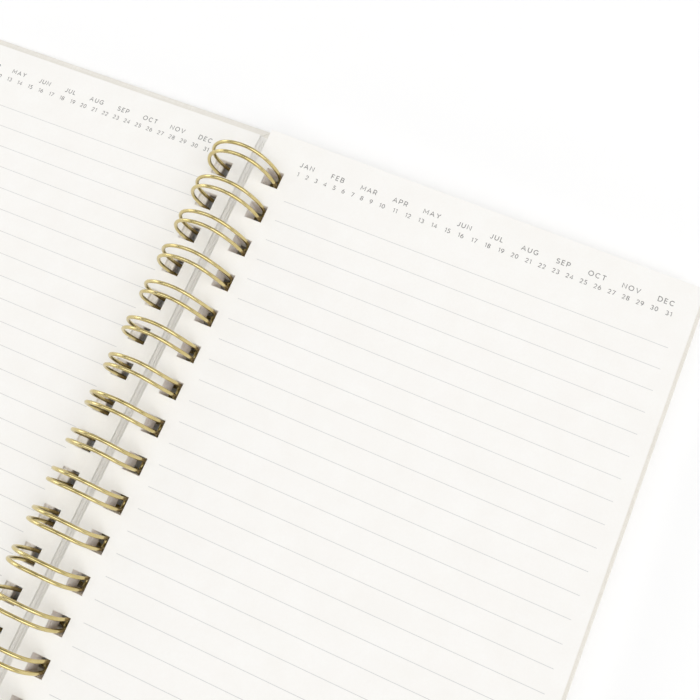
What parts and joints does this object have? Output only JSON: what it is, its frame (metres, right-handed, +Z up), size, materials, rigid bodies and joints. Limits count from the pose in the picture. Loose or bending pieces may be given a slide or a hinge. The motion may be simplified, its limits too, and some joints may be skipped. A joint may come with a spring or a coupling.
{
  "type": "twin-loop bound journal",
  "caption": "Hardcover journal lying open on a twin-loop wire binding; its covers, leaf stacks and top leaves turn about the wire.",
  "frame": {"origin": "on the table, under the ring's axis, halfway along the binding", "axes": "+X across the open journal towards the right page's fore edge, +Y along the binding towards the head of the pages, +Z up"},
  "size_m": [0.3078, 0.216, 0.0253],
  "materials": {
    "paper": "matt uncoated writing paper, warm white",
    "endpaper": "matt, heavier uncoated paper, pale cream",
    "greyboard": "raw greyboard, seen only in the punched holes",
    "cover_cloth": "plain woven book cloth, matt, pale oatmeal",
    "gold_wire": "satin pale gold coated steel wire"
  },
  "bodies": {
    "back_cover": {"back_cover_board": "greyboard", "back_cover_wrap": "cover_cloth", "back_endpaper": "endpaper", "twin_loop_wire": "gold_wire"},
    "right_leaves": {"right_leaf_block_1": "paper", "right_leaf_block_2": "paper", "right_leaf_block_3": "paper", "right_leaf_block_4": "paper", "right_leaf_block_5": "paper", "right_leaf_4": "paper", "right_leaf_3": "paper"},
    "right_page_2": {"right_leaf_2": "paper"},
    "right_page_1": {"right_leaf_1": "paper"},
    "front_cover": {"front_cover_board": "greyboard", "front_cover_wrap": "cover_cloth", "front_endpaper": "endpaper"},
    "left_leaves": {"left_leaf_block_1": "paper", "left_leaf_block_2": "paper", "left_leaf_3": "paper"},
    "left_page_2": {"left_leaf_2": "paper"},
    "left_page_1": {"left_leaf_1": "paper"}
  },
  "joints": [
    {"name": "right_leaves_hinge", "type": "hinge", "parent": "back_cover", "child": "right_leaves", "pos_m": [0, 0, 0.0127], "axis": [0, -1, 0], "range_deg": [0, 180]},
    {"name": "right_page_2_hinge", "type": "hinge", "parent": "right_leaves", "child": "right_page_2", "pos_m": [0, 0, 0.0127], "axis": [0, -1, 0], "range_deg": [0, 180]},
    {"name": "right_page_1_hinge", "type": "hinge", "parent": "right_page_2", "child": "right_page_1", "pos_m": [0, 0, 0.0127], "axis": [0, -1, 0], "range_deg": [0, 180]},
    {"name": "front_cover_hinge", "type": "hinge", "parent": "back_cover", "child": "front_cover", "pos_m": [0, 0, 0.0127], "axis": [0, 1, 0], "range_deg": [0, 180]},
    {"name": "left_leaves_hinge", "type": "hinge", "parent": "front_cover", "child": "left_leaves", "pos_m": [0, 0, 0.0127], "axis": [0, 1, 0], "range_deg": [0, 180]},
    {"name": "left_page_2_hinge", "type": "hinge", "parent": "left_leaves", "child": "left_page_2", "pos_m": [0, 0, 0.0127], "axis": [0, 1, 0], "range_deg": [0, 180]},
    {"name": "left_page_1_hinge", "type": "hinge", "parent": "left_page_2", "child": "left_page_1", "pos_m": [0, 0, 0.0127], "axis": [0, 1, 0], "range_deg": [0, 180]}
  ]
}
